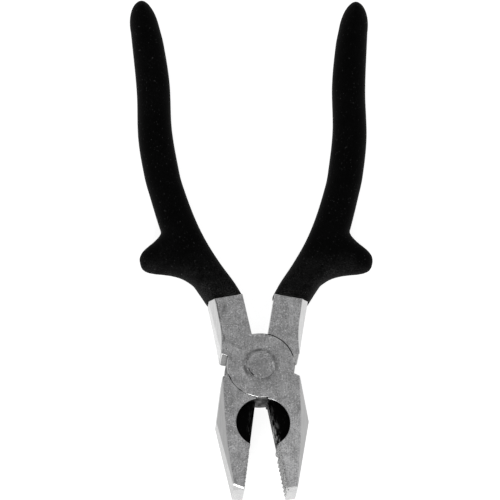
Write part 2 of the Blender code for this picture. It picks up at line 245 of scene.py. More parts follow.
# Stage, light and camera, with lengths in metres
FLOOR_SIZE = 6
FLOOR_GAP = 0.0002
FLOOR_TONE = 0.45
FLOOR_GLOW = 0.85
KEY_PLACE = (-0.35, -1.1, 0.5)
KEY_SIZE = 0.6
KEY_POWER = 9.0
WORLD_STRENGTH = 1.15
WORLD_STOPS = ((0.0, 1.0), (0.25, 0.82), (0.5, 0.68), (0.8, 0.36), (1.0, 0.32))
TILT_DEG = 21.5  # how far the camera leans from straight above towards the jaws
ASIDE = -0.0838  # its lean to the side, as the X of its direction
LENS = 600.0
SENSOR = 36.0
SEEN_WIDTH = 0.185
TARGET = (-0.0026, 0.0455, THICKNESS * MM)


# ---------------------------------------------------------------- shape helpers


def along(points, y):
    """The smooth curve through (y, x) points, read at y."""
    last = len(points) - 1
    k = 0
    while k < last - 1 and y > points[k + 1][0]:
        k += 1
    y0, x0 = points[k]
    y1, x1 = points[k + 1]
    before = points[max(k - 1, 0)]
    after = points[min(k + 2, last)]
    slope0 = (x1 - before[1]) / (y1 - before[0])
    slope1 = (after[1] - x0) / (after[0] - y0)
    span = y1 - y0
    t = (y - y0) / span
    value = x0 * (1 + 2 * t) * (1 - t) ** 2 + x1 * t * t * (3 - 2 * t)
    return value + span * (slope0 * t * (1 - t) ** 2 - slope1 * t * t * (1 - t))


def polar(radius, degrees):
    """The (x, y) point at a radius and an angle."""
    angle = math.radians(degrees)
    return radius * math.cos(angle), radius * math.sin(angle)


def arc(radius, start, end, steps):
    return [polar(radius, start + (end - start) * k / steps) for k in range(steps + 1)]


def turned_point(point, degrees):
    """An (x, y) point turned about the rivet."""
    angle = math.radians(degrees)
    x, y = point
    return x * math.cos(angle) - y * math.sin(angle), x * math.sin(angle) + y * math.cos(angle)


def smooth_step(value):
    """0 to 1 with a soft start and end, held beyond them."""
    value = min(1.0, max(0.0, value))
    return value * value * (3 - 2 * value)


def flipped(points):
    """The same (y, z) outline on the rear face."""
    return [(y, THICKNESS - z) for y, z in points]


def object_from(name, bm):
    """A new object in millimetres from a bmesh whose faces are turned outwards."""
    bm.normal_update()
    bmesh.ops.recalc_face_normals(bm, faces=bm.faces)
    mesh = bpy.data.meshes.new(name)
    bm.to_mesh(mesh)
    bm.free()
    obj = bpy.data.objects.new(name, mesh)
    bpy.context.scene.collection.objects.link(obj)
    return obj


def evaluated_mesh(obj):
    """A new mesh with the object's modifiers applied."""
    graph = bpy.context.evaluated_depsgraph_get()
    return bpy.data.meshes.new_from_object(obj.evaluated_get(graph))


def prism(name, outline, low, high, axis="Z"):
    """A flat outline pushed along an axis: (x, y) along Z, or (y, z) along X."""
    curve = bpy.data.curves.new(name, "CURVE")
    curve.dimensions = "2D"
    curve.fill_mode = "BOTH"
    curve.extrude = (high - low) / 2
    spline = curve.splines.new("POLY")
    spline.points.add(len(outline) - 1)
    for point, (u, v) in zip(spline.points, outline):
        point.co = (u, v, 0, 1)
    spline.use_cyclic_u = True
    drawn = bpy.data.objects.new(name, curve)
    bpy.context.scene.collection.objects.link(drawn)
    mesh = evaluated_mesh(drawn)
    bpy.data.objects.remove(drawn, do_unlink=True)
    bm = bmesh.new()
    bm.from_mesh(mesh)
    bpy.data.meshes.remove(mesh)
    bmesh.ops.remove_doubles(bm, verts=bm.verts, dist=1e-4)
    bmesh.ops.translate(bm, verts=bm.verts, vec=(0, 0, (low + high) / 2))
    if axis == "X":
        turn = Matrix(((0, 0, 1), (1, 0, 0), (0, 1, 0))).to_4x4()
        bmesh.ops.transform(bm, matrix=turn, verts=bm.verts)
    return object_from(name, bm)


def loft(name, rings):
    """A closed skin through rings of equally many points."""
    bm = bmesh.new()
    loops = [[bm.verts.new(point) for point in ring] for ring in rings]
    for lower, upper in zip(loops, loops[1:]):
        for k in range(len(lower)):
            after = (k + 1) % len(lower)
            bm.faces.new((lower[k], lower[after], upper[after], upper[k]))
    bm.faces.new(loops[0])
    bm.faces.new(loops[-1])
    return object_from(name, bm)


def turned(name, profile, steps):
    """A solid of revolution about Z from (radius, z) points that start and end off the axis."""
    rings = [[(*polar(r, 360 * k / steps), z) for k in range(steps)] for r, z in profile]
    return loft(name, rings)


def cut_all(obj, cutters):
    """Cuts obj with each cutter, in place, and removes the cutters."""
    for cutter in cutters:
        modifier = obj.modifiers.new(cutter.name, "BOOLEAN")
        modifier.operation = "DIFFERENCE"
        modifier.solver = "EXACT"
        modifier.object = cutter
    mesh = evaluated_mesh(obj)
    obj.modifiers.clear()
    obj.data = mesh
    for cutter in cutters:
        bpy.data.objects.remove(cutter, do_unlink=True)


def tidy_mesh(obj):
    """Merges the slivers that cutting leaves, and joins flat neighbours into whole faces."""
    bm = bmesh.new()
    bm.from_mesh(obj.data)
    bmesh.ops.remove_doubles(bm, verts=bm.verts, dist=MERGE_LENGTH)
    bmesh.ops.dissolve_limit(
        bm, angle_limit=math.radians(FLAT_DEG), verts=bm.verts, edges=bm.edges
    )
    bm.to_mesh(obj.data)
    bm.free()


def bevel_edges(obj, wanted, width, segments):
    """Rounds the edges for which wanted(edge) is true."""
    bm = bmesh.new()
    bm.from_mesh(obj.data)
    bm.normal_update()
    edges = [edge for edge in bm.edges if len(edge.link_faces) == 2 and wanted(edge)]
    bmesh.ops.bevel(
        bm,
        geom=edges,
        offset=width,
        offset_type="OFFSET",
        segments=segments,
        profile=0.5,
        affect="EDGES",
        clamp_overlap=False,
    )
    bm.to_mesh(obj.data)
    bm.free()


def finish_surface(obj, degrees):
    """Smooth shading that keeps flat faces flat and hard edges hard."""
    obj.data.shade_smooth()
    obj.data.set_sharp_from_angle(angle=math.radians(degrees))
    weighted = obj.modifiers.new("flat faces", "WEIGHTED_NORMAL")
    weighted.keep_sharp = True
    weighted.weight = 80


def place(obj, degrees, is_rear):
    """Takes a finished front piece from millimetres, shut, to metres, open, and over if it is rear."""
    matrix = Matrix.Scale(MM, 4) @ Matrix.Rotation(math.radians(degrees), 4, "Z")
    if is_rear:
        middle = Matrix.Translation((0, 0, MIDDLE))
        matrix = matrix @ middle @ Matrix.Rotation(math.pi, 4, "Y") @ middle.inverted()
    obj.data.transform(Matrix.Translation((PIVOT.x, PIVOT.y, 0)) @ matrix)


# ---------------------------------------------------------------- forging


def body_edges(y, inset):
    """The grip's outer and inner x at y without its guard, moved in by inset."""
    return along(GRIP_OUTER, y) + inset, along(GRIP_INNER, y) - inset


def tang_side(inset, end_y, steps=30):
    """The outer and inner side of the tang as (x, y) points, moved in from the grip's edges."""
    rows = [TANG_Y + (end_y - TANG_Y) * k / steps for k in range(steps + 1)]
    outer = [(body_edges(y, inset)[0], y) for y in rows]
    inner = [(body_edges(y, inset)[1], y) for y in rows]
    return outer, inner


def forging_outline(jaw_deg):
    """The whole half seen from the front, counter-clockwise from the tip."""
    tang_outer, tang_inner = tang_side(TANG_INSET, TANG_END_Y)
    shank_arc_end = math.degrees(math.acos(SHANK_INNER_X / DISC_R))
    throat_deg = 360 - math.degrees(math.acos(CLOSING_X / DISC_R)) + jaw_deg
    jaw = [
        (CLOSING_X, TIP_Y),
        (TIP_WIDTH, TIP_Y),
        (JAW_SIDE_X, JAW_BEND_Y),
        (JAW_SIDE_X, JAW_CORNER[1] - JAW_CORNER_CUT),
        JAW_CORNER,
    ]
    outline = [turned_point(point, jaw_deg) for point in jaw]
    outline += arc(DISC_R, JAW_SHOULDER_DEG + jaw_deg, shank_arc_end, ARC_STEPS)
    outline += [(SHANK_INNER_X, TANG_Y), *tang_inner, *reversed(tang_outer)]
    side_end = (SHANK_OUTER_X, SHANK_CORNER[1] + SHANK_CORNER_CUT)
    outline += [(SHANK_OUTER_X, TANG_Y), side_end, SHANK_CORNER]
    outline += arc(DISC_R, SHANK_SHOULDER_DEG, throat_deg, ARC_STEPS)
    return outline


def recess_cutter():
    """Room for the other half's disc: everything behind this half's own plate."""
    profile = [(RECESS_R, -CUTTER_OVER), (RECESS_R, MIDDLE + LAP_GAP / 2)]
    return turned("cut_recess", profile, RECESS_STEPS)


def rim_cutters(jaw_deg):
    """The chamfer round the disc's face, along its two free arcs."""
    shank_end = math.degrees(math.acos(SHANK_INNER_X / DISC_R))
    throat = 360 - math.degrees(math.acos(CLOSING_X / DISC_R)) + jaw_deg
    arcs = ((JAW_SHOULDER_DEG + jaw_deg, shank_end), (SHANK_SHOULDER_DEG, throat))
    over = 0.3
    inset_deg = 0.4
    section = (
        (DISC_R - DISC_RIM - over, THICKNESS + over),
        (DISC_R + over, THICKNESS - DISC_RIM - over),
        (DISC_R + over, THICKNESS + over),
    )
    cutters = []
    for start, end in arcs:
        span = end - start - 2 * inset_deg
        turns = [start + inset_deg + span * k / ARC_STEPS for k in range(ARC_STEPS + 1)]
        rings = [[(*polar(r, turn), z) for r, z in section] for turn in turns]
        cutters.append(loft("cut_rim", rings))
    return cutters


def rivet_hole_cutters():
    """The bore, its countersinks and the shallow dish that peening leaves round the head."""
    bore = RIVET_R + HEAD_GAP
    over = 1.0
    wide = RIVET_HEAD_R + HEAD_GAP + (RIVET_HEAD_R - RIVET_R) / COUNTERSINK * over
    floor = THICKNESS - COUNTERSINK
    under_head = 0.4
    dish_over = 0.01
    steps = 8
    dish = []
    for step in range(steps + 1):
        share = step / steps
        radius = RIVET_HEAD_R - under_head + (DISH_R - RIVET_HEAD_R + under_head) * share
        rise = (DISH_DEPTH + dish_over) * smooth_step(share)
        dish.append((radius, THICKNESS - DISH_DEPTH + rise))
    through = [(bore, -CUTTER_OVER), (bore, THICKNESS + CUTTER_OVER)]
    return [
        turned("cut_bore", through, RIVET_STEPS),
        turned("cut_sink_front", [(bore, floor), (wide, THICKNESS + over)], RIVET_STEPS),
        turned("cut_sink_rear", [(wide, -over), (bore, COUNTERSINK)], RIVET_STEPS),
        turned("cut_dish", dish, RIVET_STEPS),
    ]


def facet_cutter(name, stations, slope, outward, rear_face):
    """A wedge that planes off one long outer edge, on the front face or the rear one."""
    rise = 2.0
    reach = 8.0
    steps = 14
    ordered = sorted(stations)
    low, high = ordered[0][0], ordered[-1][0]
    rings = []
    for k in range(steps + 1):
        y = low + (high - low) * k / steps
        x = along(ordered, y)
        start = (x - outward * rise / slope, y, THICKNESS + rise)
        end = (x + outward * reach, y, THICKNESS - reach * slope)
        corner = (x + outward * reach, y, THICKNESS + rise)
        ring = [start, end, corner]
        if rear_face:
            ring = [(px, py, THICKNESS - pz) for px, py, pz in ring]
        rings.append(ring)
    return loft(name, rings)


def scoop_cutter(name, rear_face):
    """The round pocket beside the cutting edge, with a small chamfer round its rim."""
    bm = bmesh.new()
    over = 1.0
    profile = (
        (SCOOP_R, MIDDLE - CUTTER_OVER),
        (SCOOP_R, THICKNESS - SCOOP_RIM),
        (SCOOP_R + SCOOP_RIM + over, THICKNESS + over),
    )
    steps = 128
    loops = []
    for radius, z in profile:
        ring = [polar(radius, 360 * k / steps) for k in range(steps)]
        loops.append([bm.verts.new((SCOOP_CENTRE[0] + x, SCOOP_CENTRE[1] + y, z)) for x, y in ring])
    for lower, upper in zip(loops, loops[1:]):
        for k in range(steps):
            after = (k + 1) % steps
            bm.faces.new((lower[k], lower[after], upper[after], upper[k]))
    bm.faces.new(loops[0])
    bm.faces.new(loops[-1])
    cut = bmesh.ops.bisect_plane(
        bm,
        geom=[*bm.verts, *bm.edges, *bm.faces],
        plane_co=(CLOSING_X, 0, MIDDLE + EDGE_LAND),
        plane_no=(-SCOOP_SLOPE, 0, 1),
        clear_inner=True,
    )
    rim = [item for item in cut["geom_cut"] if isinstance(item, bmesh.types.BMEdge)]
    bmesh.ops.holes_fill(bm, edges=rim)
    if rear_face:
        for vertex in bm.verts:
            vertex.co.z = THICKNESS - vertex.co.z
    return object_from(name, bm)


def teeth_cutter():
    """A comb of V grooves across the closing face, with a longer notch next to the cutter."""
    outside = CLOSING_X - CUTTER_OVER
    crest = CLOSING_X - 0.05
    floor = CLOSING_X + NOTCH_DEPTH
    y = NOTCH_Y - NOTCH_LENGTH
    outline = [(outside, NOTCH_Y), (crest, NOTCH_Y), (floor, NOTCH_Y - NOTCH_DEPTH)]
    outline += [(floor, y + NOTCH_DEPTH), (crest, y)]
    y -= TOOTH_LAND
    for _ in range(TOOTH_COUNT):
        outline.append((crest, y))
        outline.append((CLOSING_X + TOOTH_DEPTH, y - (TOOTH_PITCH - TOOTH_LAND) / 2))
        outline.append((crest, y - TOOTH_PITCH + TOOTH_LAND))
        y -= TOOTH_PITCH
    outline.append((outside, y + TOOTH_LAND))
    return prism("cut_teeth", outline, -CUTTER_OVER, THICKNESS + CUTTER_OVER)


def nose_outline(chamfer, flat):
    """What rounds one edge of the nose, as (y, z): a chamfer and a steeper facet under it."""
    above = THICKNESS + CUTTER_OVER
    ahead = TIP_Y - CUTTER_OVER
    bend = (TIP_Y + chamfer - flat, THICKNESS - flat)
    lowest = (ahead, bend[1] - (bend[0] - TIP_Y + CUTTER_OVER) * NOSE_STEEPNESS)
    return [(TIP_Y + chamfer + CUTTER_OVER, above), bend, lowest, (ahead, above)]


def thinning_outline():
    """What is taken off the front of the shank, which thins gently, and of the tang."""
    top = THICKNESS + 3
    tang_top = MIDDLE + TANG_HALF_THICKNESS
    far = TANG_END_Y + 5
    return [
        (SHANK_THIN_FROM_Y, THICKNESS + 0.02),
        (TANG_Y, THICKNESS - SHANK_THINNING),
        (TANG_Y, tang_top),
        (far, tang_top),
        (far, top),
        (SHANK_THIN_FROM_Y, top),
    ]


def swing(objects, degrees):
    """Turns unplaced shapes about the rivet."""
    for obj in objects:
        obj.data.transform(Matrix.Rotation(math.radians(degrees), 4, "Z"))


def slant_nose(cutter, degrees):
    """Slants a nose chamfer about the point where it meets the closing face."""
    hinge = Matrix.Translation((CLOSING_X, TIP_Y + NOSE_CHAMFER, 0))
    cutter.data.transform(hinge @ Matrix.Rotation(math.radians(degrees), 4, "Z") @ hinge.inverted())
    return cutter


def is_seam(edge):
    """Edges on the disc, on its recess or in the lap, where the two halves nearly meet."""
    radii = [vertex.co.xy.length for vertex in edge.verts]
    on_circle = all(abs(r - DISC_R) < 0.05 or abs(r - RECESS_R) < 0.05 for r in radii)
    return on_circle or max(radii) < RECESS_R


def make_forging(name, jaw_deg, nose_deg, turned_over):
    """One half, shut: rounded outside edges first, then the crisp cuts.

    The slanted nose chamfer is on the face that looks up once the half is placed: its rear face if
    the half is turned over.
    """
    forging = prism(name, forging_outline(jaw_deg), 0, THICKNESS)
    fixed = [recess_cutter()]
    on_jaw = []
    crisp = [teeth_cutter()]
    for face, rear_face in (("front", False), ("rear", True)):
        on_face = flipped if rear_face else list
        shank = facet_cutter(f"shank_{face}", SHANK_FACET, SHANK_FACET_SLOPE, -1, rear_face)
        thinning = prism(f"thin_{face}", on_face(thinning_outline()), *SHANK_SPAN, "X")
        fixed += [shank, thinning]
        on_jaw.append(facet_cutter(f"jaw_{face}", JAW_FACET, JAW_FACET_SLOPE, 1, rear_face))
        if rear_face == turned_over:
            outline = on_face(nose_outline(NOSE_CHAMFER, NOSE_FLAT))
            nose = slant_nose(prism(f"nose_{face}", outline, *NOSE_SPAN, "X"), nose_deg)
        else:
            outline = on_face(nose_outline(UNDER_CHAMFER, UNDER_CHAMFER))
            nose = prism(f"nose_{face}", outline, *NOSE_SPAN, "X")
        on_jaw.append(nose)
        crisp.append(scoop_cutter(f"scoop_{face}", rear_face))
    swing(on_jaw + crisp, jaw_deg)
    cut_all(forging, fixed + on_jaw)
    tidy_mesh(forging)

    def closing_line(edge):
        ends = [turned_point(vertex.co.xy, -jaw_deg) for vertex in edge.verts]
        return all(abs(x - CLOSING_X) < 0.02 and y < -RECESS_R + 1 for x, y in ends)

    def soft(edge):
        turn = edge.calc_face_angle(0)
        is_open = turn > math.radians(SOFT_TURN_DEG) and edge.calc_length() > SHORTEST_SOFT
        return is_open and not (is_seam(edge) or closing_line(edge))

    bevel_edges(forging, soft, SOFT_EDGE, SOFT_SEGMENTS)
    cut_all(forging, crisp + rim_cutters(jaw_deg) + rivet_hole_cutters())
    finish_surface(forging, FORGING_SHARP_DEG)
    return forging


# ---------------------------------------------------------------- rivet and grips


def make_rivet():
    """A countersunk rivet: a slightly domed, peened head in front and a flat end behind."""
    top = THICKNESS + 0.12
    profile = [
        (0.6, 0.0),
        (RIVET_HEAD_R - 0.3, 0.0),
        (RIVET_HEAD_R - 0.22, 0.2),
        (RIVET_R, COUNTERSINK),
        (RIVET_R, THICKNESS - COUNTERSINK),
        (RIVET_HEAD_R - 0.24, THICKNESS - 0.26),
        (RIVET_HEAD_R - 0.28, THICKNESS - 0.17),
        (RIVET_HEAD_R - 0.42, THICKNESS - 0.1),
        (5.0, THICKNESS - 0.06),
        (CREASE_R + 0.12, THICKNESS - 0.08),
        (CREASE_R, THICKNESS - 0.13),
        (CREASE_R - 0.12, THICKNESS - 0.05),
        (4.3, THICKNESS + 0.02),
        (3.4, top - 0.04),
        (2.2, top - 0.01),
        (1.2, top),
        (0.3, top),
    ]
    rivet = turned("rivet", profile, RIVET_STEPS)
    finish_surface(rivet, RIVET_SHARP_DEG)
    return rivet


def grip_edges(y):
    """The grip's outer and inner x at y, with its guard and its domed end."""
    outer, inner = body_edges(min(y, DOME_Y), SKIN)
    if GUARD[0][0] < y < GUARD[-1][0]:
        outer = min(outer, along(GUARD, y) + SKIN)
    if y > DOME_Y:
        narrowing = math.sqrt(max(0.0, 1 - ((y - DOME_Y) / (DOME_HEIGHT - SKIN)) ** 2))
        centre = (outer + inner) / 2 + DOME_LEAN * (1 - narrowing)
        half = (inner - outer) / 2 * narrowing
        outer, inner = centre - half, centre + half
    return outer, inner


def grip_outline():
    """The grip's edge from below the mouth, up the outer side and down the inner one."""
    below = 8
    row_step = 0.5
    rows = np.arange(MOUTH_Y, DOME_Y + row_step / 2, row_step)
    dome = [DOME_Y + (DOME_HEIGHT - SKIN) * math.sin(math.radians(a)) for a in range(2, 90, 2)]
    rows = [*rows, *dome]
    edges = [grip_edges(y) for y in rows]
    outer = [(x, y) for (x, _), y in zip(edges, rows)]
    inner = [(x, y) for (_, x), y in zip(edges, rows)]
    start = (outer[0][0], MOUTH_Y - below)
    end = (inner[0][0], MOUTH_Y - below)
    return np.array([start, *outer, *reversed(inner), end])


def edge_distance(points, edge):
    """The distance from each point to the outline."""
    start, span = edge[:-1], np.diff(edge, axis=0)
    away = points[:, None, :] - start[None]
    t = (away * span).sum(-1) / (span * span).sum(-1)
    nearest = away - np.clip(t, 0, 1)[..., None] * span
    return np.sqrt((nearest * nearest).sum(-1)).min(1)


def half_thickness(x, y, distance):
    """Half of the grip's thickness: full in the middle and rounded off towards its outline."""
    blend = smooth_step((y - MOUTH_Y) / (SHAFT_ROUNDING_Y - MOUTH_Y))
    rounding = MOUTH_ROUNDING + (SHAFT_ROUNDING - MOUTH_ROUNDING) * blend
    blend_start = body_edges(min(y, DOME_Y), 0)[0] + GUARD_BLEND_IN
    beyond = smooth_step((blend_start - x) / GUARD_REACH)
    rounding += (GUARD_ROUNDING - rounding) * beyond
    depth = min(1.0, distance / rounding)
    full = GRIP_HALF_THICKNESS - GUARD_THINNING * beyond
    return full * (1 - (1 - depth) ** ROUNDNESS) ** (1 / ROUNDNESS)


def grip_ring(y, outline, shrink=0.0):
    """One closed ring of points round the grip at y, pulled in by shrink."""
    outer, inner = grip_edges(y)
    turns = np.arange(2 * RING_HALF) * math.pi / RING_HALF
    x = (outer + inner) / 2 - (inner - outer) / 2 * np.cos(turns)
    distance = edge_distance(np.column_stack([x, np.full_like(x, y)]), outline)
    ring = []
    for k, px in enumerate(x):
        side = 1 if k < RING_HALF else -1
        rise = 0.0 if k % RING_HALF == 0 else half_thickness(px, y, distance[k])
        ring.append(Vector((px, y, MIDDLE + side * rise)))
    if shrink:
        centre = Vector(((outer + inner) / 2, y, MIDDLE))
        ring = [centre + (p - centre) * (1 - shrink / max((p - centre).length, 1)) for p in ring]
    return ring


def cavity_cutter():
    """The room for the tang inside a grip, closed at the handle's end."""
    gap = 0.3
    outer, inner = tang_side(TANG_INSET - gap, TANG_END_Y + gap)
    lead_in = MOUTH_Y - 3
    outline = [(outer[0][0], lead_in), *outer, *reversed(inner), (inner[0][0], lead_in)]
    half = TANG_HALF_THICKNESS + gap
    return prism("cavity", outline, MIDDLE - half, MIDDLE + half)


def make_grip(name):
    """A rounded sleeve with a finger guard on its outer edge and a soft lip at its mouth."""
    outline = grip_outline()
    rings = [grip_ring(MOUTH_Y, outline, LIP)]
    rings.append(grip_ring(MOUTH_Y + LIP * 0.3, outline, LIP * 0.3))
    count = round((DOME_Y - MOUTH_Y - LIP) / RING_STEP)
    for k in range(count + 1):
        y = MOUTH_Y + LIP + (DOME_Y - MOUTH_Y - LIP) * k / count
        rings.append(grip_ring(y, outline))
    for degrees in DOME_RINGS_DEG:
        y = DOME_Y + (DOME_HEIGHT - SKIN) * math.sin(math.radians(degrees))
        rings.append(grip_ring(y, outline))
    grip = loft(name, rings)
    relax = grip.modifiers.new("relax", "SMOOTH")
    relax.factor = 0.5
    relax.iterations = 2
    cut_all(grip, [cavity_cutter()])
    grip.data.shade_smooth()
    grip.data.set_sharp_from_angle(angle=math.radians(GRIP_SHARP_DEG))
    return grip


# ---------------------------------------------------------------- materials


class Nodes:
    """A short way to write a material's node tree."""

    def __init__(self, name):
        self.material = bpy.data.materials.new(name)
        self.material.use_nodes = True
        self.tree = self.material.node_tree
        self.shader = self.tree.nodes["Principled BSDF"]
        self.coordinates = self.add("ShaderNodeTexCoord")

    def add(self, kind, **settings):
        """A new node with its settings made."""
        node = self.tree.nodes.new(kind)
        for key, value in settings.items():
            setattr(node, key, value)
        return node

    def put(self, socket, value):
        """Links a socket to another node's output, or gives it a value."""
        if isinstance(value, bpy.types.NodeSocket):
            self.tree.links.new(value, socket)
        else:
            socket.default_value = value

    def place(self):
        return self.coordinates.outputs["Object"]

    def stretched(self, scale, degrees=0.0):
        """The place, scaled along each axis and turned, for noise that runs one way."""
        node = self.add("ShaderNodeMapping")
        self.put(node.inputs["Vector"], self.place())
        node.inputs["Scale"].default_value = scale
        node.inputs["Rotation"].default_value = (0, 0, math.radians(degrees))
        return node.outputs["Vector"]

    def noise(self, scale, detail=4.0, roughness=0.55, vector=None, distortion=0.0):
        node = self.add("ShaderNodeTexNoise")
        self.put(node.inputs["Vector"], vector or self.place())
        node.inputs["Scale"].default_value = scale
        node.inputs["Detail"].default_value = detail
        node.inputs["Roughness"].default_value = roughness
        node.inputs["Distortion"].default_value = distortion
        return node.outputs["Fac"]

    def math(self, operation, first, second=0.0, third=0.0):
        node = self.add("ShaderNodeMath", operation=operation)
        for socket, value in zip(node.inputs, (first, second, third)):
            self.put(socket, value)
        return node.outputs[0]

    def remap(self, value, low, high, new_low, new_high, smooth=False):
        node = self.add("ShaderNodeMapRange")
        if smooth:
            node.interpolation_type = "SMOOTHSTEP"
        for name, number in (
            ("Value", value),
            ("From Min", low),
            ("From Max", high),
            ("To Min", new_low),
            ("To Max", new_high),
        ):
            self.put(node.inputs[name], number)
        return node.outputs[0]

    def mix(self, factor, first, second):
        node = self.add("ShaderNodeMix", data_type="RGBA")
        self.put(node.inputs[0], factor)
        self.put(node.inputs[6], first)
        self.put(node.inputs[7], second)
        return node.outputs[2]

    def bump(self, height, strength, distance, normal=None):
        node = self.add("ShaderNodeBump")
        self.put(node.inputs["Height"], height)
        node.inputs["Strength"].default_value = strength
        node.inputs["Distance"].default_value = distance
        if normal:
            self.put(node.inputs["Normal"], normal)
        return node.outputs["Normal"]

    def half_frame(self, is_rear, turn_deg):
        """The place in the half's own frame, in millimetres: shut, with its jaw at +X."""
        node = self.add("ShaderNodeMapping", vector_type="TEXTURE")
        self.put(node.inputs["Vector"], self.place())
        node.inputs["Location"].default_value = (PIVOT.x, PIVOT.y, 0)
        node.inputs["Rotation"].default_value = (0, 0, math.radians(turn_deg))
        node.inputs["Scale"].default_value = (-MM if is_rear else MM, MM, MM)
        return node.outputs["Vector"]

    def distance(self, vector, centre):
        """The distance from a point in the XY plane."""
        flat = self.add("ShaderNodeVectorMath", operation="MULTIPLY")
        self.put(flat.inputs[0], vector)
        flat.inputs[1].default_value = (1, 1, 0)
        node = self.add("ShaderNodeVectorMath", operation="DISTANCE")
        self.put(node.inputs[0], flat.outputs[0])
        node.inputs[1].default_value = (*centre, 0)
        return node.outputs["Value"]

    def soft_spot(self, vector, centre, degrees, half_size):
        """1 in the middle of a blurred ellipse and 0 beyond it."""
        node = self.add("ShaderNodeMapping", vector_type="TEXTURE")
        self.put(node.inputs["Vector"], vector)
        node.inputs["Location"].default_value = (*centre, 0)
        node.inputs["Rotation"].default_value = (0, 0, math.radians(degrees))
        node.inputs["Scale"].default_value = (*half_size, 1)
        return self.remap(self.distance(node.outputs["Vector"], (0, 0)), 0.3, 1.0, 1.0, 0.0, True)

    def as_grey(self, value):
        node = self.add("ShaderNodeCombineColor")
        for channel in node.inputs[:3]:
            self.put(channel, value)
        return node.outputs[0]

    def scaled(self, colour, factor):
        node = self.add("ShaderNodeVectorMath", operation="SCALE")
        self.put(node.inputs[0], colour)
        self.put(node.inputs["Scale"], factor)
        return node.outputs["Vector"]

    def finish(self, colour, rough, normal, metallic):
        self.put(self.shader.inputs["Base Color"], colour)
        self.put(self.shader.inputs["Roughness"], rough)
        self.put(self.shader.inputs["Normal"], normal)
        self.shader.inputs["Metallic"].default_value = metallic
        return self.material

    def axis(self, vector, name):
        node = self.add("ShaderNodeSeparateXYZ")
        self.put(node.inputs[0], vector)
        return node.outputs[name]


def grey(value):
    """A neutral colour, a trace towards blue."""
    return (value, value, value * 1.01, 1)


def ground_steel(nodes, brush_deg, tones):
    """Satin steel: faint clouds, fine pitting, grinding lines and thin bright scratches."""
    cloud = nodes.noise(260, 5, 0.62, distortion=0.8)
    grain = nodes.noise(2000, 3, 0.7, distortion=0.3)
    brushed = nodes.noise(1, 3, 0.6, nodes.stretched((2400, 260, 900), brush_deg))
    tone = nodes.math("MULTIPLY", cloud, 0.32)
    tone = nodes.math("MULTIPLY_ADD", grain, 0.5, tone)
    tone = nodes.math("MULTIPLY_ADD", brushed, 0.18, tone)
    tone = nodes.remap(tone, 0.42, 0.58, 0.0, 1.0)
    colour = nodes.mix(tone, grey(tones[0]), grey(tones[1]))
    pits = nodes.remap(nodes.noise(1900, 2, 0.6), 0.6, 0.68, 0.0, 0.55)
    colour = nodes.mix(pits, colour, grey(0.13))
    line = nodes.math("ABSOLUTE", nodes.math("SUBTRACT", nodes.noise(150, 3, 0.5), 0.5))
    scratch = nodes.remap(line, 0.003, 0.013, 1.0, 0.0)
    patch = nodes.remap(nodes.noise(240, 3, 0.6), 0.52, 0.6, 0.0, 0.75)
    scratch = nodes.math("MULTIPLY", scratch, patch)
    specks = nodes.remap(nodes.noise(1500, 1, 0.5, distortion=0.2), 0.66, 0.71, 0.0, 0.95)
    colour = nodes.mix(nodes.math("MAXIMUM", scratch, specks), colour, grey(0.95))
    rough = nodes.remap(grain, 0.35, 0.65, 0.3, 0.42)
    height = nodes.math("MULTIPLY_ADD", brushed, 0.6, grain)
    height = nodes.math("SUBTRACT", height, pits)
    normal = nodes.bump(height, 0.4, 0.00003)
    return colour, rough, normal


def ground_facet(nodes, y, turn_deg):
    """The smoother, brighter finish of the bevels: fine lines along the tool."""
    lines = nodes.noise(1, 3, 0.6, nodes.stretched((2800, 120, 1100), turn_deg))
    tone = nodes.remap(lines, 0.35, 0.65, 0.93, 1.07)
    base = nodes.remap(y, *FACET_TONE_Y, 0.47, 0.62, True)
    base = nodes.math("MAXIMUM", base, nodes.remap(y, TIP_Y + 1.4, TIP_Y + 0.6, 0.0, 0.56, True))
    return nodes.as_grey(nodes.math("MULTIPLY", tone, base))


def highlights_and_streaks(nodes, place_mm, colour, is_rear):
    """Pale patches that are painted highlights, and darker streaks; on the front half a darker streak
    runs into the disc.
    """
    pale = REAR_HIGHLIGHTS if is_rear else FRONT_HIGHLIGHTS
    dark = REAR_DARK if is_rear else FRONT_DARK
    ragged = nodes.remap(nodes.noise(420, 4, 0.65), 0.36, 0.6, 0.15, 1.0)
    # pale spots are painted highlights, dark spots are darker streaks
    for spots, tone, strength in ((pale, 0.86, 0.42), (dark, 0.12, 0.5)):
        for centre, degrees, half_size in spots:
            spot = nodes.soft_spot(place_mm, centre, degrees, half_size)
            spot = nodes.math("MULTIPLY", nodes.math("MULTIPLY", spot, ragged), strength)
            colour = nodes.mix(spot, colour, grey(tone))
    return colour


def surface_facts(nodes, is_rear, turn_deg):
    """What tells one region of a forging from another: its place in the half, and how it faces."""
    place_mm = nodes.half_frame(is_rear, turn_deg)
    x, y, z = (nodes.axis(place_mm, letter) for letter in "XYZ")
    facing = nodes.math("ABSOLUTE", nodes.axis(nodes.coordinates.outputs["Normal"], "Z"))
    return SimpleNamespace(
        place_mm=place_mm,
        x=x,
        y=y,
        z=z,
        facing=facing,
        upright=nodes.math("LESS_THAN", facing, WALL_FACING),
        from_axis=nodes.distance(place_mm, (0, 0)),
        crumbs=nodes.noise(1500, 3, 0.7),
        streaks=nodes.noise(1, 3, 0.65, nodes.stretched((1500, 260, 700), turn_deg)),
    )


